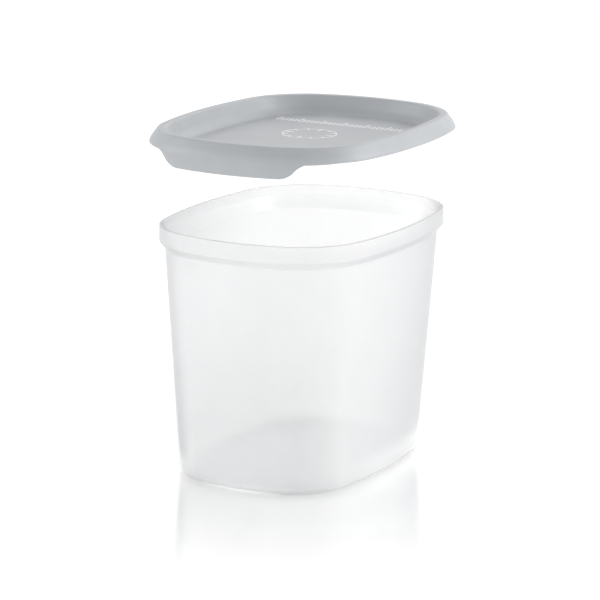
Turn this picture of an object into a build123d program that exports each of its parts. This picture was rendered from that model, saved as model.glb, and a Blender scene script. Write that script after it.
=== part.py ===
from build123d import *
import os
from dataclasses import dataclass
from math import atan2, copysign, cos, degrees, hypot, pi, radians, remainder, sin, sqrt, tan

# Sizes are in millimetres and angles in degrees. The origin is at the middle of the base, on
# the surface that the box stands on, with X across the box, Y along it and Z up.

# Plan of the rim: two long sides and two short ends, all bowed outwards, and corner arcs
rim_width = 112.0
rim_length = 151.5
side_bow_radius = 250.0
end_bow_radius = 96.0
corner_radius = 38.0

# Box: an upright rim band over a shoulder, drafted walls and a foot ring under the floor
box_height = 120.0
lip_thickness = 1.6
lip_depth = 4.8
band_height = 7.7
shoulder_height = 3.5
shoulder_step = 2.8
wall_draft = 4.0
wall_thickness = 1.4
floor_thickness = 1.6
base_edge_radius = 2.8
floor_edge_radius = 3.6
foot_width = 7.0
foot_depth = 0.8
gate_diameter = 7.0
gate_depth = 0.4

# Lid: a crown over the rim, a panel sunk inside it and a skirt flared outside it
lid_wall = 1.2
rim_gap = 0.3
crown_width = 3.7
panel_depth = 9.0
stack_gap = 3.8
skirt_flare = 36.0
skirt_roll_radius = 10.0
skirt_depth = 7.0
tab_lean = 10.0
seal_depth = 3.2
seal_draft = 20.0
panel_cove_radius = 6.5
crown_inner_radius = 1.3
crown_outer_radius = 1.6

# Finger tab: the skirt dips lower over the end that faces -Y
tab_depth = 14.0
tab_flat_width = 52.0
tab_blend_radius = 9.0

# Bevel that breaks the thin edges
edge_bevel = 0.4

# Height of the lid above its closed place, as it is held over the box
lid_lift = 44.4


@dataclass
class PlanArc:
    """One arc of the rim's plan, run anticlockwise from its start angle."""

    centre: tuple[float, float]
    radius: float
    start: float
    turn: float


@dataclass
class Corner:
    """One corner of a wall section: distance outside the rim's plan, height and rounding."""

    out: float
    height: float
    rounding: float = 0.0


def rim_plan() -> list[PlanArc]:
    """Find the eight tangent arcs that make the rim's plan."""
    side_centre = rim_width / 2 - side_bow_radius
    end_centre = rim_length / 2 - end_bow_radius
    to_side = side_bow_radius - corner_radius
    to_end = end_bow_radius - corner_radius

    # The corner's centre lies to_side from the side's centre and to_end from the end's
    apart = hypot(side_centre, end_centre)
    along = (to_side**2 - to_end**2 + apart**2) / (2 * apart)
    across = sqrt(to_side**2 - along**2)
    toward = (-side_centre / apart, end_centre / apart)
    corner_x = side_centre + along * toward[0] - across * toward[1]
    corner_y = along * toward[1] + across * toward[0]

    side_half = degrees(atan2(corner_y, corner_x - side_centre))
    end_half = degrees(atan2(corner_x, corner_y - end_centre))
    corner_turn = 90 - side_half - end_half

    arcs = []
    for sign, heading in ((1, 0), (-1, 180)):
        side_start = heading - side_half
        near_corner = heading + side_half
        end_start = heading + 90 - end_half
        far_corner = heading + 90 + end_half
        corner = (sign * corner_x, sign * corner_y)
        next_corner = (-sign * corner_x, sign * corner_y)
        arcs.append(PlanArc((sign * side_centre, 0), side_bow_radius, side_start, 2 * side_half))
        arcs.append(PlanArc(corner, corner_radius, near_corner, corner_turn))
        arcs.append(PlanArc((0, sign * end_centre), end_bow_radius, end_start, 2 * end_half))
        arcs.append(PlanArc(next_corner, corner_radius, far_corner, corner_turn))
    return arcs


def plan_face(out: float) -> Sketch:
    """Face inside the rim's plan, grown by out or shrunk where out is negative."""
    edges = [CenterArc(arc.centre, arc.radius + out, arc.start, arc.turn) for arc in rim_plan()]
    return make_face(edges)


def plate(out: float, low: float, high: float) -> Part:
    """Flat plate of the plan's shape between two heights."""
    return Pos(0, 0, low) * extrude(plan_face(out), high - low)


def section_face(corners: list[Corner]) -> Sketch:
    """Closed wall section through the given corners, each with its own rounding."""
    points = [(corner.out, corner.height) for corner in corners]
    outline = FilletPolyline(points, radius=[corner.rounding for corner in corners], close=True)
    return make_face(outline)


def headings(corners: list[Corner]) -> list[float]:
    """Direction of each run from one corner to the next, in radians."""
    runs = zip(corners, corners[1:])
    return [atan2(there.height - here.height, there.out - here.out) for here, there in runs]


def bevelled_turn(corners: list[Corner]) -> list[Corner]:
    """Swap each rounded corner for two plain ones, whose bevel touches the same arc."""
    runs = headings(corners)
    plain = [corners[0]]
    for corner, before, after in zip(corners[1:-1], runs, runs[1:]):
        if corner.rounding == 0:
            plain.append(corner)
            continue
        turn = abs(remainder(after - before, 2 * pi))
        back = corner.rounding * (tan(turn / 2) - tan(turn / 4))
        for along, run in ((-back, before), (back, after)):
            plain.append(Corner(corner.out + along * cos(run), corner.height + along * sin(run)))
    return plain + [corners[-1]]


def move_sideways(corners: list[Corner], distance: float) -> list[Corner]:
    """Run a line of corners parallel to itself, a distance to its right."""
    runs = headings(corners)
    moved = []
    for corner, before, after in zip(corners, runs[:1] + runs, runs + runs[-1:]):
        middle = (before + after) / 2
        reach = distance / cos((after - before) / 2)
        rounding = 0.0
        if corner.rounding > 0:
            rounding = max(corner.rounding + copysign(distance, after - before), 0)
        place = (corner.out + reach * sin(middle), corner.height - reach * cos(middle))
        moved.append(Corner(*place, rounding))
    return moved


def carry_round(section: Sketch, arcs: list[PlanArc]) -> Part:
    """Carry a wall section along arcs of the plan, turning it about each arc's centre."""
    wall = Part()
    for arc in arcs:
        across = (cos(radians(arc.start)), sin(radians(arc.start)), 0)
        facing = (across[1], -across[0], 0)
        start_plane = Plane(origin=(*arc.centre, 0), x_dir=across, z_dir=facing)
        start_face = start_plane * Pos(arc.radius, 0) * section
        wall += revolve(start_face, Axis((*arc.centre, 0), (0, 0, 1)), arc.turn)
    return wall


def wall_inset(height: float) -> float:
    """Distance of the box's outer wall inside the rim's plan at a height."""
    wall_top = box_height - band_height - shoulder_height
    return shoulder_step + (wall_top - height) * tan(radians(wall_draft))


def make_container() -> Part:
    """Box with bowed drafted walls, open at the top."""
    band_bottom = box_height - band_height
    wall_top = band_bottom - shoulder_height
    floor_top = foot_depth + floor_thickness
    inner_shift = wall_thickness / cos(radians(wall_draft))
    foot_inner = wall_inset(0) + foot_width

    # The wall section ends under the floor, where the flat plate takes over
    ring_inner = foot_inner + foot_depth + floor_thickness

    section = section_face([
        Corner(-wall_inset(0), 0, base_edge_radius),
        Corner(-shoulder_step, wall_top),
        Corner(0, band_bottom),
        Corner(0, box_height - edge_bevel),
        Corner(-edge_bevel, box_height),
        Corner(edge_bevel - lip_thickness, box_height),
        Corner(-lip_thickness, box_height - edge_bevel),
        Corner(-lip_thickness, box_height - lip_depth),
        *bevelled_turn([
            Corner(-wall_inset(wall_top) - inner_shift, wall_top),
            Corner(-wall_inset(floor_top) - inner_shift, floor_top, floor_edge_radius),
            Corner(-ring_inner, floor_top),
        ]),
        Corner(-ring_inner, foot_depth),
        Corner(-foot_inner - foot_depth, foot_depth),
        Corner(-foot_inner, 0),
    ])
    container = carry_round(section, rim_plan())
    container += plate(-ring_inner, foot_depth, floor_top)
    gate = Pos(0, 0, foot_depth) * Cylinder(gate_diameter / 2, 2 * gate_depth)
    return container - gate


def make_lid_shell() -> Part:
    """Lid with its skirt at the tab's full depth all the way round."""
    crown_top = rim_gap + lid_wall
    panel_top = crown_top - panel_depth
    panel_corner = wall_inset(0) - stack_gap
    flare_slope = tan(radians(skirt_flare))
    tab_slope = tan(radians(tab_lean))

    # The skirt's inner face starts rim_gap outside the lip, level with its top
    crown_outer = rim_gap + lid_wall / cos(radians(skirt_flare)) - crown_top * flare_slope
    crown_inner = crown_outer - crown_width
    roll_height = crown_top - skirt_depth
    roll_corner = crown_outer + skirt_depth * flare_slope
    tab_bottom = crown_top - tab_depth - lid_wall
    tab_out = roll_corner - (roll_height - tab_bottom) * tab_slope
    panel_end = panel_corner + panel_cove_radius + lid_wall

    upper = [
        Corner(-panel_end, panel_top),
        Corner(-panel_corner, panel_top, panel_cove_radius),
        Corner(crown_inner, crown_top, crown_inner_radius),
        Corner(crown_outer, crown_top, crown_outer_radius),
        Corner(roll_corner, roll_height, skirt_roll_radius),
        Corner(tab_out, tab_bottom),
    ]
    lower = bevelled_turn(move_sideways(upper, lid_wall))

    # The cove round the panel stays round, and the crown's turns and the skirt's roll are bevels
    upper = [upper[0], *bevelled_turn(upper[1:])]
    section = section_face(upper + lower[::-1])
    shell = carry_round(section, rim_plan())
    shell += plate(-panel_end, panel_top - lid_wall, panel_top)

    seal_out = -lip_thickness - rim_gap
    seal_section = section_face([
        Corner(seal_out, rim_gap),
        Corner(seal_out, edge_bevel - seal_depth),
        Corner(seal_out - edge_bevel, -seal_depth),
        Corner(crown_inner - panel_depth * tan(radians(seal_draft)), -seal_depth),
        Corner(crown_inner, rim_gap),
    ])
    return shell + carry_round(seal_section, rim_plan())


def make_lid() -> Part:
    """Lid whose skirt is trimmed short except at the finger tab."""
    crown_top = rim_gap + lid_wall
    skirt_edge = crown_top - skirt_depth
    tab_edge = crown_top - tab_depth
    drop = skirt_edge - tab_edge
    blend_run = sqrt(4 * tab_blend_radius * drop - drop**2)
    tab_half = tab_flat_width / 2
    reach = rim_length

    start = (tab_half, tab_edge)
    middle = (tab_half + blend_run / 2, (tab_edge + skirt_edge) / 2)
    finish = (tab_half + blend_run, skirt_edge)
    blend = Line((0, tab_edge), start)
    blend += TangentArc(start, middle, tangent=(1, 0))
    blend += TangentArc(finish, middle, tangent=(-1, 0))
    below = [finish, (reach, skirt_edge), (reach, -reach), (0, -reach), (0, tab_edge)]
    half = make_face(blend + Polyline(*below))
    under_tab = half + mirror(half, Plane.YZ)
    tab_end = extrude(Plane.XZ * under_tab, reach)
    other_end = Pos(0, reach / 2, skirt_edge - reach / 2) * Box(2 * reach, reach, reach)
    inside_skirt = plate(0, -reach, crown_top)
    return make_lid_shell() - (tab_end + other_end - inside_skirt)


container = make_container()
lid = Pos(0, 0, box_height + lid_lift) * make_lid()

os.makedirs("parts", exist_ok=True)
export_step(container, "parts/container.step")
export_step(lid, "parts/lid.step")
print("container", round(container.volume), container.bounding_box().size)
print("lid", round(lid.volume), lid.bounding_box().size)
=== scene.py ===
"""Looks of a food storage box and its lift-off lid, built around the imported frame.

Sizes in the classes are in millimetres and degrees, as a mould maker writes them. Every
mesh is turned to metres when it is made, and stands in the same frame as the CAD solids.
"""
import logging
from abc import ABC, abstractmethod
from dataclasses import dataclass, field
from enum import Enum
from math import atan2, ceil, copysign, cos, degrees, dist, hypot, pi, radians, remainder, sin, sqrt, tan

import bmesh
import bpy
from mathutils import Matrix, Vector


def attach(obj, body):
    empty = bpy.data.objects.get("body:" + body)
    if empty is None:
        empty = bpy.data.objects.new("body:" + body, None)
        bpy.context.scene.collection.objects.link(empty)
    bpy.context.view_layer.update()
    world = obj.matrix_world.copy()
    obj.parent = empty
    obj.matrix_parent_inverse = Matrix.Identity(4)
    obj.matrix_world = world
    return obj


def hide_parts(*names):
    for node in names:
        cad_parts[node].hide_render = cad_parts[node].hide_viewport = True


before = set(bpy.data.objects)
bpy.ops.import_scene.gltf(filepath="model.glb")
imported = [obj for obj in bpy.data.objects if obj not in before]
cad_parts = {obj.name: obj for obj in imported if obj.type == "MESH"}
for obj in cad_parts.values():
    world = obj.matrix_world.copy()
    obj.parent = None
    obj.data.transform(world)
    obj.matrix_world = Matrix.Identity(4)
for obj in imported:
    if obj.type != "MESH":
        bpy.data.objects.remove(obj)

MM = 0.001
WHITE = (1.0, 1.0, 1.0, 1.0)

# Millimetres within which two points of a line are one
SAME_PLACE = 1e-6

# Middle value of a noise, and the values between which its clouds fade
NOISE_MIDDLE = 0.5
CLOUD_EDGES = (0.35, 0.65)

Triple = tuple[float, float, float]
Colour = Triple
Place = tuple[float, float]
Span = tuple[float, float]
Values = dict[str | int, object] | None

log =logging.getLogger("food_box")


class Body(Enum):
    """CAD bodies that the pieces ride on."""

    BOX = "box"
    COVER = "cover"


class Node(Enum):
    """CAD nodes that the finer pieces stand for."""

    CONTAINER = "container"
    LID = "lid"


class Slot(Enum):
    """Material slots of the record."""

    CONTAINER = "container"
    LID = "lid"


# Lines and plans


@dataclass(frozen=True)
class Corner:
    """One corner of a wall section: distance outside the rim's plan, height and rounding."""

    out: float
    height: float
    rounding: float = 0.0


def between(here: Place, there: Place, share: float) -> Place:
    """Place that lies a share of the way from one place to another."""
    return (here[0] + share * (there[0] - here[0]), here[1] + share * (there[1] - here[1]))


def headings(corners: list[Corner]) -> list[float]:
    """Direction of each run from one corner to the next, in radians."""
    runs = zip(corners, corners[1:])
    return [atan2(there.height - here.height, there.out - here.out) for here, there in runs]


def move_sideways(corners: list[Corner], distance: float) -> list[Corner]:
    """Run a line of corners parallel to itself, to its right.

    Args:
        corners: the line's corners in order.
        distance: how far the new line lies from the old one.

    Returns:
        The new line's corners, with roundings about the same centres.
    """
    runs = headings(corners)
    moved = []
    for corner, before, after in zip(corners, runs[:1] + runs, runs + runs[-1:]):
        middle = (before + after) / 2
        reach = distance / cos((after - before) / 2)
        rounding = 0.0
        if corner.rounding > 0:
            rounding = max(corner.rounding + copysign(distance, after - before), 0.0)
        place = (corner.out + reach * sin(middle), corner.height - reach * cos(middle))
        moved.append(Corner(*place, rounding))
    return moved


def smooth_line(corners: list[Corner], arc_step: float = 6.0, hold: float = 0.3) -> list[Place]:
    """Turn corners into a fine line whose bends are true arcs.

    Args:
        corners: the line's corners in order, its ends included.
        arc_step: most degrees between two points of an arc.
        hold: distance from its ends at which a straight run gets two more points, so that
            the shading of the bends stops there. With 0 it gets none.

    Returns:
        The line's points as (out, height).
    """
    points = [(corners[0].out, corners[0].height)]
    runs = headings(corners)
    for corner, before, after in zip(corners[1:-1], runs, runs[1:]):
        turn = remainder(after - before, 2 * pi)
        side = copysign(corner.rounding, turn)
        back = corner.rounding * tan(abs(turn) / 2)
        centre = (corner.out - back * cos(before) - side * sin(before),
                  corner.height - back * sin(before) + side * cos(before))
        steps = max(1, ceil(degrees(abs(turn)) / arc_step)) if corner.rounding > 0 else 0
        for step in range(steps + 1):
            heading = before + turn * step / max(steps, 1)
            points.append((centre[0] + side * sin(heading), centre[1] - side * cos(heading)))
    points.append((corners[-1].out, corners[-1].height))

    held = [points[0]]
    for here, there in zip(points, points[1:]):
        length = dist(here, there)
        if length > 3 * hold > 0:
            held += [between(here, there, hold / length), between(here, there, 1 - hold / length)]
        if length > SAME_PLACE:
            held.append(there)
    return held


def cut_at_height(points: list[Place], height: float) -> list[Place]:
    """Keep the part of a falling line that lies above a height.

    Args:
        points: a line that runs downwards.
        height: where it is cut.

    Returns:
        The line's points down to the cut, which is its last point.
    """
    kept = [points[0]]
    for here, there in zip(points, points[1:]):
        if there[1] <= height:
            return kept + [between(here, there, (here[1] - height) / (here[1] - there[1]))]
        kept.append(there)
    return kept


def spread_evenly(points: list[Place], count: int) -> list[Place]:
    """Place points at equal steps along a line.

    Args:
        points: the line.
        count: how many points to place, both ends included.

    Returns:
        The new points.
    """
    along = [0.0]
    for here, there in zip(points, points[1:]):
        along.append(along[-1] + dist(here, there))
    spread = []
    run = 0
    for step in range(count):
        target = along[-1] * step / (count - 1)
        while run < len(points) - 2 and along[run + 1] < target:
            run += 1
        share = (target - along[run]) / max(along[run + 1] - along[run], SAME_PLACE)
        spread.append(between(points[run], points[run + 1], share))
    return spread


@dataclass(frozen=True)
class RimPoint:
    """One point of the rim's plan and the direction that points out of it there."""

    x: float
    y: float
    out_x: float
    out_y: float

    def moved_out(self, out: float) -> Place:
        """Place that lies a distance outside the plan here."""
        return (self.x + out * self.out_x, self.y + out * self.out_y)


@dataclass(frozen=True)
class RimPlan:
    """Plan of the rim: eight tangent arcs, two long sides, two ends and four corners."""

    width: float = 112.0
    length: float = 151.5
    side_bow_radius: float = 250.0
    end_bow_radius: float = 96.0
    corner_radius: float = 38.0
    bow_steps: int = 30
    corner_steps: int = 56
    spoke_inset: float = 20.0

    def points(self) -> list[RimPoint]:
        """Walk round the plan anticlockwise.

        Returns:
            The plan's points, closed without repeating the first.
        """
        side_centre = self.width / 2 - self.side_bow_radius
        end_centre = self.length / 2 - self.end_bow_radius
        to_side = self.side_bow_radius - self.corner_radius
        to_end = self.end_bow_radius - self.corner_radius
        apart = hypot(side_centre, end_centre)
        along = (to_side**2 - to_end**2 + apart**2) / (2 * apart)
        across = sqrt(to_side**2 - along**2)
        corner_x = side_centre - along * side_centre / apart - across * end_centre / apart
        corner_y = along * end_centre / apart - across * side_centre / apart

        side_half = atan2(corner_y, corner_x - side_centre)
        end_half = atan2(corner_x, corner_y - end_centre)
        turn = pi / 2 - side_half - end_half
        side, end, corner = self.side_bow_radius, self.end_bow_radius, self.corner_radius
        bow_steps, corner_steps = self.bow_steps, self.corner_steps

        walked = []
        for sign, heading in ((1, 0.0), (-1, pi)):
            for x, y, radius, start, sweep, steps in (
                (side_centre, 0.0, side, -side_half, 2 * side_half, bow_steps),
                (corner_x, corner_y, corner, side_half, turn, corner_steps),
                (0.0, end_centre, end, pi / 2 - end_half, 2 * end_half, bow_steps),
                (-corner_x, corner_y, corner, pi / 2 + end_half, turn, corner_steps),
            ):
                for step in range(steps):
                    angle = heading + start + sweep * step / steps
                    out_x, out_y = cos(angle), sin(angle)
                    place = (sign * x + radius * out_x, sign * y + radius * out_y)
                    walked.append(RimPoint(*place, out_x, out_y))
        return walked

    def spokes(self) -> list[Vector]:
        """Direction from the middle toward each point of the plan, taken well inside it."""
        return [Vector(point.moved_out(-self.spoke_inset)).normalized() for point in self.points()]


# Node trees


class NodeBench:
    """Bench on which one node tree is put together."""

    def __init__(self, tree: bpy.types.NodeTree) -> None:
        """Start work on a tree."""
        self.tree = tree

    @staticmethod
    def socket(sockets: bpy.types.bpy_prop_collection, name: str | int) -> bpy.types.NodeSocket:
        """Find a socket by its number, its identifier or, failing that, its name."""
        named = [entry for key in ("identifier", "name") for entry in sockets if getattr(entry, key) == name]
        return named[0] if named else sockets[name]

    def node(self, kind: str, values: Values = None, **settings: object) -> bpy.types.Node:
        """Add a node, choose its options and then feed its sockets.

        Args:
            kind: the node's type.
            values: what each input gets by name: a number, a colour, a reading or a socket, or
                a list of them where it takes several.
            settings: the node's options by name.

        Returns:
            The node.
        """
        node = self.tree.nodes.new(kind)
        for name, setting in settings.items():
            setattr(node, name, setting)
        for name, value in (values or {}).items():
            entry = self.socket(node.inputs, name)
            for part in value if isinstance(value, list) else [value]:
                source = part.socket if isinstance(part, Reading) else part
                if isinstance(source, bpy.types.NodeSocket):
                    self.tree.links.new(source, entry)
                else:
                    entry.default_value = source
        return node

    def read(
        self, kind: str, values: Values = None, output: str | int = 0, **settings: object
    ) -> "Reading":
        """Add a node as above and read the output of that name or number, ready for sums."""
        return Reading(self, self.socket(self.node(kind, values, **settings).outputs, output))


class Reading:
    """An output socket that can be used in sums."""

    def __init__(self, bench: NodeBench, socket: bpy.types.NodeSocket) -> None:
        """Wrap a socket of the bench's tree."""
        self.bench = bench
        self.socket = socket

    def sum(self, operation: str, *terms: object) -> "Reading":
        """Add a Math node that works on terms in order."""
        return self.bench.read("ShaderNodeMath", dict(enumerate(terms)), operation=operation)

    def __add__(self, other: object) -> "Reading":
        """Add."""
        return self.sum("ADD", self, other)

    def __radd__(self, other: object) -> "Reading":
        """Add to a number."""
        return self.sum("ADD", other, self)

    def __sub__(self, other: object) -> "Reading":
        """Subtract."""
        return self.sum("SUBTRACT", self, other)

    def __rsub__(self, other: object) -> "Reading":
        """Subtract from a number."""
        return self.sum("SUBTRACT", other, self)

    def __mul__(self, other: object) -> "Reading":
        """Multiply."""
        return self.sum("MULTIPLY", self, other)

    def __rmul__(self, other: object) -> "Reading":
        """Multiply a number."""
        return self.sum("MULTIPLY", other, self)

    def __pow__(self, other: object) -> "Reading":
        """Raise to a power."""
        return self.sum("POWER", self, other)

    def __rpow__(self, other: object) -> "Reading":
        """Raise a number to this power."""
        return self.sum("POWER", other, self)

    def eased(self, low: float, high: float) -> "Reading":
        """Ease from 0 at low to 1 at high."""
        edges = {"Value": self, "From Min": low, "From Max": high}
        return self.bench.read("ShaderNodeMapRange", edges, interpolation_type="SMOOTHSTEP")


def link(name: str, data: bpy.types.ID) -> bpy.types.Object:
    """Make an object of a mesh, a light or a camera and link it to the scene.

    Args:
        name: the object's name.
        data: what it holds.

    Returns:
        The object.
    """
    made = bpy.data.objects.new(name, data)
    bpy.context.scene.collection.objects.link(made)
    return made


def discard(helper: bpy.types.Object) -> None:
    """Remove a helper object and its mesh.

    Args:
        helper: the object, which nothing needs any more.
    """
    mesh = helper.data
    bpy.data.objects.remove(helper)
    bpy.data.meshes.remove(mesh)


class PieceTree:
    """Geometry Nodes tree with named inputs, among them a weld distance and a finish."""

    def __init__(self, name: str, kinds: dict[str, str]) -> None:
        """Start a tree.

        Args:
            name: the tree's name.
            kinds: kind of each input that is its own, by the input's name.
        """
        self.tree = bpy.data.node_groups.new(name, "GeometryNodeTree")
        self.bench = NodeBench(self.tree)
        interface = self.tree.interface
        kinds = {"Geometry": "Geometry", **kinds, "Weld distance": "Float", "Finish": "Material"}
        self.identifiers = {}
        for label, kind in kinds.items():
            socket = interface.new_socket(name=label, in_out="INPUT", socket_type="NodeSocket" + kind)
            self.identifiers[label] = socket.identifier
        interface.new_socket(name="Geometry", in_out="OUTPUT", socket_type="NodeSocketGeometry")
        given = self.bench.node("NodeGroupInput").outputs
        self.given = {label: Reading(self.bench, given[label]) for label in kinds}

    def weld(self, shape: Reading) -> Reading:
        """Merge a shape's points that lie within the weld distance."""
        values = {"Geometry": shape, "Distance": self.given["Weld distance"]}
        return self.bench.read("GeometryNodeMergeByDistance", values)

    def end(self, shape: Reading) -> None:
        """End the tree with real instances that wear the finish.

        Args:
            shape: what the tree has made.
        """
        real = self.bench.read("GeometryNodeRealizeInstances", {"Geometry": shape})
        dressed = self.bench.read("GeometryNodeSetMaterial", {
            "Geometry": real, "Material": self.given["Finish"]})
        self.bench.node("NodeGroupOutput", {"Geometry": dressed})

    def run(self, carrier: bpy.types.Object, values: dict[str, object], name: str) -> bpy.types.Mesh:
        """Run the tree on an object and keep the result as a plain mesh.

        Args:
            carrier: the object whose mesh goes in. It is removed afterwards.
            values: what each named input gets.
            name: name of the new mesh.

        Returns:
            The mesh.
        """
        modifier = carrier.modifiers.new(name, "NODES")
        modifier.node_group = self.tree
        for label, value in values.items():
            modifier[self.identifiers[label]] = value
        graph = bpy.context.evaluated_depsgraph_get()
        mesh = bpy.data.meshes.new_from_object(carrier.evaluated_get(graph), depsgraph=graph)
        mesh.name = name
        carrier.modifiers.remove(modifier)
        discard(carrier)
        return mesh


def outline_object(
    name: str, points: list[Vector], closed: bool, kept: dict[str, list[Triple]]
) -> bpy.types.Object:
    """Make an object of edges only, for a tree to follow.

    Args:
        name: the object's name.
        points: its corners in order, in millimetres.
        closed: whether the last corner joins the first.
        kept: vectors kept on the points, by name.

    Returns:
        The object, linked to the scene.
    """
    count = len(points)
    edges = [(here, (here + 1) % count) for here in range(count if closed else count - 1)]
    mesh = bpy.data.meshes.new(name)
    mesh.from_pydata([point * MM for point in points], edges, [])
    for label, vectors in kept.items():
        flat = [part for vector in vectors for part in vector]
        mesh.attributes.new(label, "FLOAT_VECTOR", "POINT").data.foreach_set("vector", flat)
    return link(name, mesh)


def section_carrier() -> PieceTree:
    """Build the tree that carries a wall section round a plan.

    The plan's points hold plan_place, outward and spoke. The section's points hold
    section_place, as out and height, and section_ring, as gathered and reach: where gathered
    is 1, the wall is a circle of that reach about the middle.

    Returns:
        The tree.
    """
    tree = PieceTree("wall_section_round_the_rim", {"Section": "Object"})
    read = tree.bench.read

    def kept(name: str) -> Reading:
        """Read a vector that was kept on the points."""
        values = {"Name": name}
        return read("GeometryNodeInputNamedAttribute", values, "Attribute", data_type="FLOAT_VECTOR")

    def parts(name: str) -> bpy.types.bpy_prop_collection:
        """Read the parts of a vector that was kept on the points."""
        return tree.bench.node("ShaderNodeSeparateXYZ", {"Vector": kept(name)}).outputs

    def vector(operation: str, values: Values) -> Reading:
        """Do a sum on vectors."""
        return read("ShaderNodeVectorMath", values, operation=operation)

    section = read("GeometryNodeObjectInfo", {"Object": tree.given["Section"]}, "Geometry")
    wall = read("GeometryNodeCurveToMesh", {
        "Curve": read("GeometryNodeMeshToCurve", {"Mesh": tree.given["Geometry"]}),
        "Profile Curve": read("GeometryNodeMeshToCurve", {"Mesh": section})})
    place, ring = parts("section_place"), parts("section_ring")
    moved = vector("SCALE", {0: kept("outward"), "Scale": place["X"]})
    swept = vector("ADD", {0: kept("plan_place"), 1: moved})
    ringed = vector("SCALE", {0: kept("spoke"), "Scale": ring["Y"]})
    level = read("ShaderNodeMix", {"Factor_Float": ring["X"], "A_Vector": swept, "B_Vector": ringed},
                 "Result_Vector", data_type="VECTOR")
    height = read("ShaderNodeCombineXYZ", {"Z": place["Y"]})
    shaped = read("GeometryNodeSetPosition", {
        "Geometry": wall, "Position": vector("ADD", {0: level, 1: height})})
    tree.end(tree.weld(shaped))
    return tree


def tick_printer(end_rounding: float = 0.48, end_steps: int = 3) -> PieceTree:
    """Build the tree that prints ticks along a path, with a thin line under them.

    Args:
        end_rounding: radius of a tick's corners over its width.
        end_steps: points of each rounded corner.

    Returns:
        The tree.
    """
    tree = PieceTree("printed_ticks_along_a_line", {
        "Count": "Int", "Every": "Int", "Long tick growth": "Float", "Tick length": "Float",
        "Tick width": "Float", "Line width": "Float", "Ink": "Float"})
    read, size = tree.bench.read, tree.given

    path = read("GeometryNodeMeshToCurve", {"Mesh": size["Geometry"]})
    level = read("GeometryNodeSetCurveNormal", {"Curve": path}, mode="Z_UP")
    spaced = read("GeometryNodeResampleCurve", {"Curve": level, "Count": size["Count"]})

    # One tick: a bar with rounded ends, raised by the ink's thickness and closed below
    bar = read("GeometryNodeCurvePrimitiveQuadrilateral", {
        "Width": size["Tick length"], "Height": size["Tick width"]})
    rounded = read("GeometryNodeFilletCurve", {
        "Curve": bar, "Count": end_steps, "Radius": size["Tick width"] * end_rounding}, mode="POLY")
    filled = read("GeometryNodeFillCurve", {"Curve": rounded}, mode="NGONS")
    raised = read("GeometryNodeExtrudeMesh", {
        "Mesh": filled, "Offset Scale": size["Ink"], "Individual": False}, mode="FACES")
    under = read("GeometryNodeFlipFaces", {"Mesh": filled})
    closed = read("GeometryNodeJoinGeometry", {"Geometry": [raised, under]})
    inward = read("ShaderNodeCombineXYZ", {"X": size["Tick length"] * 0.5})
    tick = read("GeometryNodeTransform", {"Geometry": tree.weld(closed), "Translation": inward})

    # Each tick points to the left of the line's run, and every few are longer
    tangent = tree.bench.node("ShaderNodeSeparateXYZ", {"Vector": read("GeometryNodeInputTangent")}).outputs
    index = read("GeometryNodeInputIndex")
    heading = index.sum("ARCTAN2", tangent["Y"], tangent["X"]) + pi / 2
    is_long = 1.0 - index.sum("MINIMUM", index.sum("MODULO", index, size["Every"]), 1.0)
    ticks = read("GeometryNodeInstanceOnPoints", {
        "Points": spaced, "Instance": tick, "Rotation": read("ShaderNodeCombineXYZ", {"Z": heading}),
        "Scale": read("ShaderNodeCombineXYZ", {
            "X": 1.0 + is_long * size["Long tick growth"], "Y": 1.0, "Z": 1.0})})

    band = read("GeometryNodeCurvePrimitiveQuadrilateral", {
        "Width": size["Line width"], "Height": size["Ink"]})
    line = read("GeometryNodeCurveToMesh", {"Curve": level, "Profile Curve": band, "Fill Caps": True})
    lift = read("ShaderNodeCombineXYZ", {"Z": size["Ink"] * 0.5})
    lifted = read("GeometryNodeTransform", {"Geometry": line, "Translation": lift})
    tree.end(read("GeometryNodeJoinGeometry", {"Geometry": [ticks, lifted]}))
    return tree


# Finishes


Tint = Colour | Reading


class FinishBench(NodeBench):
    """Bench on which a finish is mixed."""

    noise_roughness: float = 0.55

    def spot(self) -> Reading:
        """Read the place on the piece."""
        return self.read("ShaderNodeTexCoord", None, "Object")

    def grain(self, size: float, detail: float = 3.0, stretch: Triple = (1.0, 1.0, 1.0)) -> Reading:
        """Read a noise fixed to the piece.

        Args:
            size: size of its grains in millimetres.
            detail: how many finer layers it has.
            stretch: how much closer the grains lie along X, Y and Z.

        Returns:
            A number from 0 to 1.
        """
        laid = self.read("ShaderNodeMapping", {"Vector": self.spot(), "Scale": stretch})
        return self.read("ShaderNodeTexNoise", {
            "Vector": laid, "Scale": 1 / (size * MM), "Detail": detail, "Roughness": self.noise_roughness})

    def blend(self, share: Reading, first: Tint, second: Tint) -> Reading:
        """Mix two colours by a reading.

        Args:
            share: 0 gives the first colour and 1 the second.
            first: linear colour, or a reading of one.
            second: linear colour, or a reading of one.

        Returns:
            The mixed colour.
        """
        colours = [tint if isinstance(tint, Reading) else (*tint, 1.0) for tint in (first, second)]
        values = {"Factor_Float": share, "A_Color": colours[0], "B_Color": colours[1]}
        return self.read("ShaderNodeMix", values, "Result_Color", data_type="RGBA")

    def raised(self, *layers: tuple[Reading, float]) -> Reading:
        """Stack bump layers.

        Args:
            layers: each layer's reading and its depth in millimetres.

        Returns:
            The normal that the surface gets.
        """
        below = {}
        for height, depth in layers:
            normal = self.read("ShaderNodeBump", {"Height": height, "Distance": depth * MM, **below})
            below = {"Normal": normal}
        return normal

    def mixed(self, share: float | Reading, first: Reading, second: Reading) -> Reading:
        """Mix two shaders: a share of 0 gives the first and 1 the second."""
        return self.read("ShaderNodeMixShader", {0: share, 1: first, 2: second})


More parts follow.
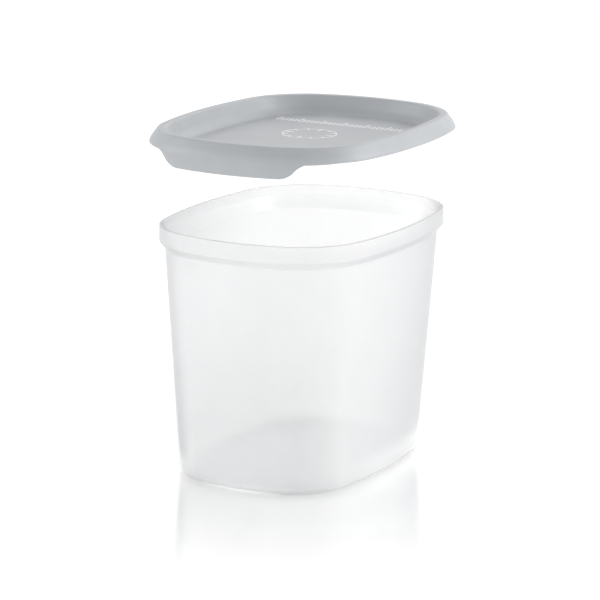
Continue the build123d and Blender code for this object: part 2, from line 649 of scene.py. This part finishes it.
@dataclass(frozen=True)
class Finish(ABC):
    """A material that is mixed once and put on pieces."""

    name: str

    @abstractmethod
    def mix(self, bench: FinishBench) -> Reading:
        """Build the finish's nodes and return the shader that the surface gets."""

    def material(self) -> bpy.types.Material:
        """Make the material.

        Returns:
            The material with its nodes in place.
        """
        made = bpy.data.materials.new(self.name)
        made.use_nodes = True
        made.node_tree.nodes.clear()
        bench = FinishBench(made.node_tree)
        bench.node("ShaderNodeOutputMaterial", {"Surface": self.mix(bench)})
        return made


@dataclass(frozen=True)
class FrostedPolypropylene(Finish):
    """Natural polypropylene: milky, see-through where it is looked at square on, greyed by painted shade
    where its walls are seen edge-on.
    """

    name: str = "frosted_polypropylene"
    milk: Colour = (0.876, 0.878, 0.882)
    clear: Colour = (0.894, 0.896, 0.9)
    # Dark grey of the painted shade on walls seen edge-on, partly standing for light lost along the longer
    # path through the plastic.
    grazing_shade: Colour = (0.37, 0.38, 0.392)
    glow: Colour = (0.862, 0.864, 0.868)
    lit_through: float = 0.48
    square_cover: float = 0.30
    edge_cover: float = 0.80
    cloud_cover: float = 0.03
    frost: float = 0.285
    square_gloss: float = 0.04
    edge_gloss: float = 0.5
    gloss_power: float = 4.0
    # Slants and heights over which the painted edge shade comes in, and how much less light shines through
    # under it.
    grazing_shade_slants: Span = (0.30, 0.92)
    grazing_shade_heights: Span = (3.0, 15.0)
    grazing_shade_on_shine_through: float = 0.5
    cloud_size: float = 26.0
    frost_size: float = 0.5
    frost_depth: float = 0.004
    flow_size: float = 3.0
    flow_detail: float = 2.0
    flow_stretch: Triple = (1.0, 1.0, 0.12)
    flow_depth: float = 0.012

    def mix(self, bench: FinishBench) -> Reading:
        """Scatter light to both sides of the wall, let the rest through and lay a gloss on top.

        Args:
            bench: where the nodes go.

        Returns:
            The wall's shader.
        """
        cloud = bench.grain(self.cloud_size)
        frost = bench.grain(self.frost_size)
        flow = bench.grain(self.flow_size, self.flow_detail, self.flow_stretch)
        slant = bench.read("ShaderNodeLayerWeight", None, "Facing")
        height = bench.read("ShaderNodeSeparateXYZ", {"Vector": bench.spot()}, "Z")
        lowest, highest = self.grazing_shade_heights
        # Painted shade, partly the plastic's absorption along a longer path: walls turn dark grey where seen
        # edge-on. This fades out towards the bottom and is gone below 3 mm, so the box's floor and base stay
        # lighter.
        depth = slant.eased(*self.grazing_shade_slants) * height.eased(lowest * MM, highest * MM)
        milk = bench.blend(cloud.eased(*CLOUD_EDGES), self.milk, self.clear)
        relief = bench.raised((frost, self.frost_depth), (flow, self.flow_depth))

        lit = bench.read("ShaderNodeBsdfPrincipled", {
            "Base Color": bench.blend(depth, milk, self.grazing_shade), "Roughness": 1.0,
            "Specular IOR Level": 0.0, "Normal": relief})
        shone_through = bench.read("ShaderNodeBsdfTranslucent", {"Color": (*self.glow, 1.0)})
        milky = bench.mixed(self.lit_through * (1.0 - self.grazing_shade_on_shine_through * depth), lit, shone_through)
        open_wall = bench.read("ShaderNodeBsdfTransparent", {"Color": WHITE})
        cover = self.square_cover + (self.edge_cover - self.square_cover) * slant
        wall = bench.mixed(cover + (cloud - NOISE_MIDDLE) * self.cloud_cover, open_wall, milky)
        gloss = bench.read("ShaderNodeBsdfGlossy", {
            "Color": WHITE, "Normal": relief, "Roughness": self.frost})
        return bench.mixed(self.square_gloss + self.edge_gloss * slant**self.gloss_power, wall, gloss)


@dataclass(frozen=True)
class SatinPolyethylene(Finish):
    """Light grey polyethylene with the fine grain of a spark-eroded mould."""

    name: str = "satin_polyethylene"
    pigment: Colour = (0.383, 0.397, 0.413)
    paler: Colour = (0.402, 0.417, 0.433)
    satin: float = 0.42
    index: float = 1.5
    cloud_size: float = 22.0
    grain_size: float = 0.45
    grain_gloss: float = 0.14
    grain_depth: float = 0.006
    slurry_size: float = 6.0
    slurry_detail: float = 2.0
    slurry_gloss: float = 0.08
    slurry_depth: float = 0.010

    def mix(self, bench: FinishBench) -> Reading:
        """Lay a fine grain and faint flow clouds over the pigment.

        Args:
            bench: where the nodes go.

        Returns:
            The lid's shader.
        """
        cloud = bench.grain(self.cloud_size)
        grain = bench.grain(self.grain_size)
        slurry = bench.grain(self.slurry_size, self.slurry_detail)
        gloss = (grain - NOISE_MIDDLE) * self.grain_gloss + (slurry - NOISE_MIDDLE) * self.slurry_gloss
        return bench.read("ShaderNodeBsdfPrincipled", {
            "Base Color": bench.blend(cloud.eased(*CLOUD_EDGES), self.pigment, self.paler),
            "Roughness": self.satin + gloss,
            "IOR": self.index,
            "Normal": bench.raised((grain, self.grain_depth), (slurry, self.slurry_depth))})


@dataclass(frozen=True)
class PrintedInk(Finish):
    """White pad-printed ink, thin enough to show the grain under it."""

    name: str = "printed_ink"
    full: Colour = (0.86, 0.86, 0.87)
    worn: Colour = (0.70, 0.71, 0.73)
    worn_edges: Span = (0.55, 0.75)
    satin: float = 0.5
    spot_size: float = 0.4
    spot_gloss: float = 0.2
    spot_depth: float = 0.004

    def mix(self, bench: FinishBench) -> Reading:
        """Thin the ink in small spots.

        Args:
            bench: where the nodes go.

        Returns:
            The ink's shader.
        """
        spots = bench.grain(self.spot_size)
        return bench.read("ShaderNodeBsdfPrincipled", {
            "Base Color": bench.blend(spots.eased(*self.worn_edges), self.full, self.worn),
            "Roughness": self.satin + (spots - NOISE_MIDDLE) * self.spot_gloss,
            "Normal": bench.raised((spots, self.spot_depth))})


@dataclass(frozen=True)
class Oval:
    """Soft-edged oval on the table, whose slimness is its length over its width.

    Its edge begins at inner and ends at outer, both measured from its middle along its length.
    """

    middle: Place
    slimness: float
    inner: float
    outer: float

    def outside(self, bench: FinishBench) -> Reading:
        """Read 0 inside the oval and 1 outside it.

        Args:
            bench: where the nodes go.

        Returns:
            A number from 0 to 1.
        """
        laid = bench.read("ShaderNodeMapping", {
            "Vector": bench.spot(), "Scale": (self.slimness / MM, 1 / MM, 1.0),
            "Location": (-self.middle[0] * self.slimness, -self.middle[1], 0.0)})
        away = bench.read("ShaderNodeVectorMath", {0: laid}, "Value", operation="LENGTH")
        return away.eased(self.inner, self.outer)


@dataclass(frozen=True)
class StudioFloor(Finish):
    """White acrylic table that glows faintly, matte under the box and far off, else polished; the glow is
    painted light that lights the box from below and lifts the shade round it.
    """

    name: str = "studio_floor"
    white: Colour = (0.88, 0.88, 0.88)
    polish: float = 0.71
    haze: float = 0.12
    polished: Oval = Oval((0.0, 0.0), 1.0, 80.0, 270.0)
    foot: Oval = Oval((0.0, 0.0), 1.58, 57.33, 72.45)
    # Oval of the strongest painted glow, under the box: no lamp stands there, the table itself emits the
    # light.
    lamp: Oval = Oval((2.6, -10.5), 1.43, 50.6, 60.95)
    # Strengths of the painted glow that the table emits under the box, round it and further out, which lifts
    # the box's shadow.
    painted_glow_under_box: float = 0.27
    painted_glow_round_box: float = 0.175
    painted_glow_far_out: float = 0.23

    def mix(self, bench: FinishBench) -> Reading:
        """Mix a mirror into the white round the box, over an emitted glow of painted light that lights the
        box from below; no lamp stands under the table.

        Args:
            bench: where the nodes go.

        Returns:
            The table's shader.
        """
        dullness = self.polished.outside(bench)
        # Painted light: the table emits a glow. It is strongest under the box, whose base it lights from
        # below, and it lifts the box's shadow round it.
        painted_glow_outside_oval = bench.blend(dullness, (self.painted_glow_round_box,) * 3, (self.painted_glow_far_out,) * 3)
        glow = bench.blend(self.lamp.outside(bench), (self.painted_glow_under_box,) * 3, painted_glow_outside_oval)
        dull = bench.read("ShaderNodeBsdfPrincipled", {
            "Base Color": (*self.white, 1.0), "Roughness": 1.0, "Specular IOR Level": 0.0,
            "Emission Color": glow, "Emission Strength": 1.0})
        mirror = bench.read("ShaderNodeBsdfGlossy", {"Color": WHITE, "Roughness": self.haze})
        return bench.mixed(self.polish * (1.0 - dullness) * self.foot.outside(bench), dull, mirror)


# Sub-assemblies


def put_on(piece: bpy.types.Object, body: Body, slot: Slot, stands_for: Node | None = None) -> None:
    """Let a piece ride on its body.

    Args:
        piece: the finished piece.
        body: the CAD body that carries it.
        slot: the record's material slot; not used.
        stands_for: the CAD node that the piece replaces, if any.
    """
    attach(piece, body.value)
    if stands_for is not None:
        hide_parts(stands_for.value)
    piece.data.calc_loop_triangles()
    log.info("%s rides on %s with %d triangles", piece.name, body.value, len(piece.data.loop_triangles))


def finish_mesh(name: str, mesh: bpy.types.Mesh, material: bpy.types.Material) -> bpy.types.Object:
    """Turn a mesh's faces outward, smooth them and make it an object.

    Args:
        name: the object's name.
        mesh: the closed mesh.
        material: its finish.

    Returns:
        The object, linked to the scene.
    """
    work = bmesh.new()
    work.from_mesh(mesh)
    bmesh.ops.recalc_face_normals(work, faces=work.faces)
    work.to_mesh(mesh)
    work.free()
    for label in [entry.name for entry in mesh.attributes if not entry.is_internal]:
        if label not in ("position", "sharp_face", "material_index"):
            mesh.attributes.remove(mesh.attributes[label])
    mesh.shade_smooth()
    mesh.materials.clear()
    mesh.materials.append(material)
    return link(name, mesh)


@dataclass
class FoodBox:
    """The box: rim band over a shoulder, drafted walls, floor and foot ring in one moulding.

    gate_side runs out from the gate's radius and up from the underside.
    """

    rim: RimPlan = field(default_factory=RimPlan)
    height: float = 120.0
    lip_thickness: float = 1.6
    lip_depth: float = 4.8
    lip_rounding: float = 0.5
    inner_lip_rounding: float = 2.0
    band_height: float = 7.7
    band_rounding: float = 1.0
    shoulder_height: float = 3.5
    shoulder_step: float = 2.8
    shoulder_rounding: float = 2.0
    inner_shoulder_rounding: float = 3.0
    wall_draft: float = 4.0
    wall_thickness: float = 1.4
    floor_thickness: float = 1.6
    base_edge_radius: float = 2.8
    floor_edge_radius: float = 3.6
    foot_width: float = 7.0
    foot_depth: float = 0.8
    foot_rounding: float = 0.3
    gate_radius: float = 3.5
    gate_side: tuple[Place, ...] = ((0.5, 0.0), (0.15, 0.0), (0.0, 0.1), (-0.1, 0.3), (-0.3, 0.4))
    ring_radius: float = 24.0
    weld: float = 0.002
    outline_step: float = 0.001

    def wall_inset(self, height: float) -> float:
        """Distance of the outer wall inside the rim's plan at a height."""
        wall_top = self.height - self.band_height - self.shoulder_height
        return self.shoulder_step + (wall_top - height) * tan(radians(self.wall_draft))

    def section(self) -> list[tuple[float, float, float, float]]:
        """Draw the section from the middle of the floor over the lip to the gate below.

        Returns:
            Points as (out, height, gathered, reach).
        """
        band_bottom = self.height - self.band_height
        wall_top = band_bottom - self.shoulder_height
        foot_top = self.foot_depth
        floor_top = foot_top + self.floor_thickness
        inner_shift = self.wall_thickness / cos(radians(self.wall_draft))
        foot_inner = self.wall_inset(0) + self.foot_width
        ring_inner = foot_inner + self.foot_depth + self.floor_thickness
        line = smooth_line([
            Corner(-ring_inner, floor_top),
            Corner(-self.wall_inset(floor_top) - inner_shift, floor_top, self.floor_edge_radius),
            Corner(-self.wall_inset(wall_top) - inner_shift, wall_top, self.inner_shoulder_rounding),
            Corner(-self.lip_thickness, self.height - self.lip_depth, self.inner_lip_rounding),
            Corner(-self.lip_thickness, self.height, self.lip_rounding),
            Corner(0, self.height, self.lip_rounding),
            Corner(0, band_bottom, self.band_rounding),
            Corner(-self.shoulder_step, wall_top, self.shoulder_rounding),
            Corner(-self.wall_inset(0), 0, self.base_edge_radius),
            Corner(-foot_inner, 0, self.foot_rounding),
            Corner(-foot_inner - self.foot_depth, foot_top, self.foot_rounding),
            Corner(-ring_inner, foot_top),
        ])
        above = [(reach, floor_top) for reach in (0.0, self.ring_radius / 2, self.ring_radius)]
        below = [(self.ring_radius, foot_top)]
        below += [(self.gate_radius + out, foot_top + up) for out, up in self.gate_side]
        below.append((0.0, below[-1][1]))
        return (
            [(0.0, height, 1.0, reach) for reach, height in above]
            + [(out, height, 0.0, 0.0) for out, height in line]
            + [(0.0, height, 1.0, reach) for reach, height in below]
        )

    def build(self, material: bpy.types.Material) -> bpy.types.Object:
        """Carry the section round the rim.

        Args:
            material: the box's finish.

        Returns:
            The box as one closed mesh.
        """
        plan = self.rim.points()
        plan_outline = outline_object("rim_plan", [Vector((point.x, point.y, 0)) for point in plan], True, {
            "plan_place": [(point.x * MM, point.y * MM, 0.0) for point in plan],
            "outward": [(point.out_x, point.out_y, 0.0) for point in plan],
            "spoke": [(*spoke, 0.0) for spoke in self.rim.spokes()],
        })

        # The outline's points climb in small steps, so that no two of them are in one place
        rows = self.section()
        climb = [Vector((row[0], row[1], step * self.outline_step)) for step, row in enumerate(rows)]
        section_outline = outline_object("box_section", climb, False, {
            "section_place": [(out * MM, height * MM, 0.0) for out, height, _, _ in rows],
            "section_ring": [(gathered, reach * MM, 0.0) for _, _, gathered, reach in rows],
        })
        mesh = section_carrier().run(plan_outline, {
            "Section": section_outline, "Weld distance": self.weld * MM, "Finish": material,
        }, "food_box")
        discard(section_outline)
        return finish_mesh("food_box", mesh, material)

    def dress(self) -> None:
        """Build the box, finish it and set it on its body."""
        box = self.build(FrostedPolypropylene().material())
        put_on(box, Body.BOX, Slot.CONTAINER, Node.CONTAINER)


@dataclass
class Lid:
    """The lid: crown over the rim, sunk panel, seal land, flared skirt and finger tab.

    skirt_out is how far outside the rim's plan the skirt's edge is taken to lie. groove_drop
    is the depth below the crown from which the skirt's inner face follows the wall's, and
    edge_trim the height above the edge at which the edge's rounding takes over.
    """

    rim: RimPlan = field(default_factory=RimPlan)
    box: FoodBox = field(default_factory=FoodBox)
    lift: float = 44.4
    wall: float = 1.2
    rim_gap: float = 0.3
    crown_width: float = 3.7
    panel_depth: float = 9.0
    stack_gap: float = 3.8
    skirt_flare: float = 36.0
    skirt_roll_radius: float = 10.0
    skirt_depth: float = 7.0
    skirt_out: float = 4.7
    tab_lean: float = 10.0
    tab_depth: float = 14.0
    tab_flat_width: float = 52.0
    tab_blend_radius: float = 9.0
    seal_depth: float = 3.2
    seal_roundings: Triple = (0.3, 0.5, 0.25)
    seal_arc_step: float = 15.0
    seal_hold: float = 0.25
    panel_cove_radius: float = 6.5
    crown_inner_radius: float = 1.3
    crown_outer_radius: float = 1.6
    groove_drop: float = 2.3
    edge_rounding: float = 0.45
    edge_trim: float = 0.72
    edge_arc_step: float = 18.0
    skirt_points: int = 26
    ring_radii: Span = (12.0, 30.0)

    @property
    def crown_top(self) -> float:
        """Height of the crown above the rim's plane."""
        return self.rim_gap + self.wall

    def upper_corners(self) -> list[Corner]:
        """Place the corners of the outer face.

        Returns:
            The corners from the panel over the crown to below the tab's edge.
        """
        flare = radians(self.skirt_flare)
        crown_outer = self.rim_gap + self.wall / cos(flare) - self.crown_top * tan(flare)
        panel_top = self.crown_top - self.panel_depth
        panel_corner = self.box.wall_inset(0) - self.stack_gap
        roll_height = self.crown_top - self.skirt_depth
        roll_corner = crown_outer + self.skirt_depth * tan(flare)
        tab_bottom = self.crown_top - self.tab_depth - self.wall
        tab_out = roll_corner - (roll_height - tab_bottom) * tan(radians(self.tab_lean))
        return [
            Corner(-panel_corner - self.panel_cove_radius - self.wall, panel_top),
            Corner(-panel_corner, panel_top, self.panel_cove_radius),
            Corner(crown_outer - self.crown_width, self.crown_top, self.crown_inner_radius),
            Corner(crown_outer, self.crown_top, self.crown_outer_radius),
            Corner(roll_corner, roll_height, self.skirt_roll_radius),
            Corner(tab_out, tab_bottom),
        ]

    def edge_height(self, x: float, y: float) -> float:
        """Find the height of the skirt's edge over a spot of the plan.

        Args:
            x: the edge's place across the lid.
            y: its place along the lid, the tab being at the lower end.

        Returns:
            The height above the rim's plane.
        """
        short = self.crown_top - self.skirt_depth
        long = self.crown_top - self.tab_depth
        drop = short - long
        radius = self.tab_blend_radius
        blend = sqrt(4 * radius * drop - drop**2)
        past = abs(x) - self.tab_flat_width / 2
        if y > 0 or past >= blend:
            return short
        if past <= 0:
            return long
        if past < blend / 2:
            return long + radius - sqrt(radius**2 - past**2)
        return short - radius + sqrt(radius**2 - (blend - past)**2)

    def section_at(self, point: RimPoint) -> list[Place]:
        """Draw the section at one place of the rim, from the panel's top to its underside.

        Args:
            point: the place on the rim.

        Returns:
            The section's points, the same number at every place.
        """
        upper = self.upper_corners()
        outer_line = smooth_line(upper)
        inner_line = smooth_line(move_sideways(upper, self.wall))
        crown_outer = upper[3].out
        edge = self.edge_height(*point.moved_out(self.skirt_out))
        trim = edge + self.edge_trim

        top_part = [place for place in outer_line if place[0] < crown_outer - self.crown_outer_radius]
        outer_skirt = outer_line[len(top_part) - 1:]
        outer_cut = cut_at_height(outer_skirt, trim)

        # The skirt's inner face starts at the groove's top and runs straight to the wall's
        peak = max(range(len(inner_line)), key=lambda number: inner_line[number][1])
        start = cut_at_height(inner_line[peak:], self.rim_gap)[-1]
        low = self.crown_top - self.groove_drop
        inner_skirt = [start] + [place for place in inner_line if place[0] > crown_outer and place[1] < low]
        inner_cut = cut_at_height(inner_skirt, trim)

        rim_end = smooth_line([
            Corner(*outer_cut[-1]),
            Corner(*cut_at_height(outer_skirt, edge)[-1], self.edge_rounding),
            Corner(*cut_at_height(inner_skirt, edge)[-1], self.edge_rounding),
            Corner(*inner_cut[-1]),
        ], self.edge_arc_step, 0.0)
        return (
            top_part[:-1]
            + spread_evenly(outer_cut, self.skirt_points)
            + rim_end[1:-1]
            + spread_evenly(inner_cut[::-1], self.skirt_points)
            + self.groove_and_panel(inner_line, start)
        )

    def groove_and_panel(self, inner_line: list[Place], start: Place) -> list[Place]:
        """Draw the underside from the groove over the seal land to the panel.

        Args:
            inner_line: the wall's inner face.
            start: where the skirt's inner face ends.

        Returns:
            The points after the start.
        """
        seal_out = -self.box.lip_thickness - self.rim_gap
        seal_low = -self.seal_depth
        wall_side = [place for place in inner_line if place[1] < seal_low and place[0] < seal_out]

        # The plug wall's inner face rises there, so it is turned over to find the seal's end
        turned_over = [(out, -height) for out, height in inner_line]
        seal_end = cut_at_height(turned_over, self.seal_depth)[-1][0]
        groove_side, land_side, wall_turn = self.seal_roundings
        land = smooth_line([
            Corner(*start),
            Corner(seal_out, self.rim_gap, groove_side),
            Corner(seal_out, seal_low, land_side),
            Corner(seal_end, seal_low, wall_turn),
            Corner(*wall_side[-1]),
        ], self.seal_arc_step, self.seal_hold)
        return land[1:] + wall_side[-2::-1]

    def build(self, material: bpy.types.Material) -> bpy.types.Object:
        """Lay the sections side by side round the rim and close the panel.

        Args:
            material: the lid's finish.

        Returns:
            The lid as one closed mesh.
        """
        plan = self.rim.points()
        spokes = self.rim.spokes()
        sections = [self.section_at(point) for point in plan]
        above = self.crown_top - self.panel_depth
        under = above - self.wall

        rows = [[(*(spoke * radius), above) for spoke in spokes] for radius in self.ring_radii]
        for line in zip(*sections):
            rows.append([(*point.moved_out(out), up) for point, (out, up) in zip(plan, line)])
        rows += [[(*(spoke * radius), under) for spoke in spokes] for radius in self.ring_radii[::-1]]

        rest = self.box.height + self.lift
        around = len(plan)
        last = (len(rows) - 1) * around
        places = [place for row in rows for place in row] + [(0, 0, above), (0, 0, under)]
        vertices = [Vector((x, y, z + rest)) * MM for x, y, z in places]
        upper_pole, lower_pole = last + around, last + around + 1
        faces = []
        for spot in range(around):
            after = (spot + 1) % around
            faces.append((upper_pole, spot, after))
            faces.append((lower_pole, last + after, last + spot))
            for row in range(0, last, around):
                faces.append((row + spot, row + around + spot, row + around + after, row + after))
        mesh = bpy.data.meshes.new("lid_cover")
        mesh.from_pydata(vertices, [], faces)
        return finish_mesh("lid_cover", mesh, material)

    def dress(self) -> None:
        """Build the lid, finish it and set it on its body."""
        lid = self.build(SatinPolyethylene().material())
        put_on(lid, Body.COVER, Slot.LID, Node.LID)


@dataclass(frozen=True)
class Ticks:
    """Ticks of one mark: how many, how long, which ones are longer and by what share."""

    count: int
    length: float
    every: int
    growth: float


@dataclass
class DateMarks:
    """Plain date marks printed on the panel: a dial of twelve ticks and a row of days."""

    lid: Lid = field(default_factory=Lid)
    ink: float = 0.06
    sunk: float = 0.02
    weld: float = 0.001
    tick_width: float = 0.7
    line_width: float = 0.55
    dial_radius: float = 13.0
    dial_middle: Place = (-3.6, 11.7)
    dial_corners: int = 96
    dial_ticks: Ticks = Ticks(count=12, length=2.6, every=3, growth=0.8)
    row_middle: Place = (-1.2, 40.1)
    row_length: float = 71.0
    row_corners: int = 61
    row_ticks: Ticks = Ticks(count=31, length=5.0, every=5, growth=0.6)

    def print_along(
        self, name: str, points: list[Vector], closed: bool, ticks: Ticks, ink: bpy.types.Material
    ) -> None:
        """Print ticks along a line and let them ride on the lid.

        Args:
            name: the piece's name.
            points: the line on the panel.
            closed: whether the line is a ring.
            ticks: what its ticks are like.
            ink: the mark's finish.
        """
        mesh = tick_printer().run(outline_object(name + "_line", points, closed, {}), {
            "Count": ticks.count, "Tick length": ticks.length * MM, "Every": ticks.every,
            "Long tick growth": ticks.growth, "Tick width": self.tick_width * MM,
            "Line width": self.line_width * MM, "Ink": self.ink * MM,
            "Weld distance": self.weld * MM, "Finish": ink,
        }, name)
        base = self.lid.box.height + self.lid.lift + self.lid.crown_top - self.lid.panel_depth
        mesh.transform(Matrix.Translation((0, 0, (base - self.sunk) * MM)))
        put_on(link(name, mesh), Body.COVER, Slot.LID)

    def dress(self) -> None:
        """Print the dial and the row."""
        ink = PrintedInk().material()
        middle = Vector((*self.dial_middle, 0))
        turns = [2 * pi * step / self.dial_corners for step in range(self.dial_corners)]
        ring = [middle + self.dial_radius * Vector((cos(turn), sin(turn), 0)) for turn in turns]
        self.print_along("month_dial", ring, True, self.dial_ticks, ink)

        start = Vector((self.row_middle[0] - self.row_length / 2, self.row_middle[1], 0))
        runs = [self.row_length * step / (self.row_corners - 1) for step in range(self.row_corners)]
        row = [start + Vector((run, 0, 0)) for run in runs]
        self.print_along("day_row", row, False, self.row_ticks, ink)


# Studio


def toward(turn: float, rise: float) -> Vector:
    """Direction that is turned from -Y toward +X and raised, both in radians."""
    return Vector((sin(turn) * cos(rise), -cos(turn) * cos(rise), sin(rise)))


@dataclass(frozen=True)
class Softbox:
    """Square softbox that points at the box, sized in metres, with its power in watts."""

    name: str
    turn: float
    rise: float
    power: float
    away: float = 1.4
    side: float = 0.7
    aim_height: float = 0.1

    def hang(self) -> None:
        """Make the light and turn it to the box."""
        heading = toward(radians(self.turn), radians(self.rise))
        lamp = bpy.data.lights.new(self.name, "AREA")
        lamp.shape, lamp.size, lamp.energy = "SQUARE", self.side, self.power
        light = link(self.name, lamp)
        light.location = Vector((0, 0, self.aim_height)) + self.away * heading
        light.rotation_euler = (-heading).to_track_quat("-Z", "Y").to_euler()


@dataclass
class Studio:
    """White table, soft light from both sides and above, and the camera.

    Here sizes are in metres, apart from the lens and sensor, and the camera's angles are in
    radians. The sky's patches lie an eighth of a turn apart, counted from the camera's side.
    """

    camera_turn: float = 0.4770
    camera_rise: float = 0.2283
    camera_roll: float = 0.0135
    camera_away: float = 1.42715
    camera_aim: Place = (-0.00129, 0.07799)
    camera_sensor: float = 36.0
    lens: float = 178.44
    floor_size: float = 12.0
    floor_drop: float = 0.0002
    patch_edge: float = 0.71
    low_rise: float = 15.0
    low_patches: tuple[float, ...] = (1.02, 0.88, 0.95, 1.02, 0.78, 0.64, 0.72, 1.00)
    high_rise: float = 50.0
    high_patches: tuple[float, ...] = (0.0, 0.0, 0.14, 0.58, 0.50, 0.30, 0.0, 0.0)
    softboxes: tuple[Softbox, ...] = (
        Softbox("right_softbox", 117.0, 30.0, 6.4), Softbox("left_softbox", -63.0, 25.0, 4.9))
    all_bounces: int = 16
    diffuse_bounces: int = 10
    clear_bounces: int = 48

    def light_sky(self) -> None:
        """Surround the scene with soft white patches."""
        world = bpy.data.worlds.new("studio_sky")
        bpy.context.scene.world = world
        world.use_nodes = True
        world.node_tree.nodes.clear()
        bench = NodeBench(world.node_tree)
        looked = bench.read("ShaderNodeTexCoord", None, "Generated")
        glow = []
        for rise, strengths in ((self.low_rise, self.low_patches), (self.high_rise, self.high_patches)):
            for step, strength in enumerate(strengths):
                middle = toward(self.camera_turn + pi / 4 * step, radians(rise))
                near = bench.read(
                    "ShaderNodeVectorMath", {0: looked, 1: middle}, "Value", operation="DOT_PRODUCT")
                glow.append(strength * near.eased(self.patch_edge, 1.0))
        shell = bench.read("ShaderNodeBackground", {"Color": WHITE, "Strength": sum(glow)})
        bench.node("ShaderNodeOutputWorld", {"Surface": shell})

    def lay_floor(self) -> None:
        """Lay the white table a hair under the box's foot."""
        half = self.floor_size / 2
        corners = [(-half, -half), (half, -half), (half, half), (-half, half)]
        mesh = bpy.data.meshes.new("studio_table")
        mesh.from_pydata([(x, y, -self.floor_drop) for x, y in corners], [], [(0, 1, 2, 3)])
        mesh.materials.append(StudioFloor().material())
        link("studio_table", mesh)

    def place_camera(self) -> None:
        """Set the camera where the photograph was taken from."""
        roll = self.camera_roll
        back = toward(self.camera_turn, self.camera_rise)
        right = toward(self.camera_turn + pi / 2, 0.0)
        up = back.cross(right)
        level = right * cos(roll) + up * sin(roll)
        upright = up * cos(roll) - right * sin(roll)
        aim = right * self.camera_aim[0] + Vector((0, 0, self.camera_aim[1]))
        lens = bpy.data.cameras.new("studio_camera")
        lens.lens, lens.sensor_width, lens.sensor_fit = self.lens, self.camera_sensor, "HORIZONTAL"
        camera = link("studio_camera", lens)
        turned = Matrix((level, upright, back)).transposed().to_4x4()
        camera.matrix_world = Matrix.Translation(aim + back * self.camera_away) @ turned
        bpy.context.scene.camera = camera

    def set_up(self) -> None:
        """Build the whole studio."""
        paths = bpy.context.scene.cycles
        paths.max_bounces, paths.diffuse_bounces = self.all_bounces, self.diffuse_bounces
        paths.transparent_max_bounces = self.clear_bounces
        view = bpy.context.scene.view_settings
        view.view_transform, view.look, view.exposure, view.gamma = "Standard", "None", 0.0, 1.0
        self.light_sky()
        for softbox in self.softboxes:
            softbox.hang()
        self.lay_floor()
        self.place_camera()


def main() -> None:
    """Build the box, the lid, its marks and the studio, in that order."""
    logging.basicConfig(level=logging.INFO, format="%(name)s: %(message)s")
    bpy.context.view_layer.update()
    box = FoodBox()
    box.dress()
    lid = Lid(box=box)
    lid.dress()
    DateMarks(lid=lid).dress()
    Studio().set_up()
    log.info("sizes written")


if __name__ == "__main__":
    main()
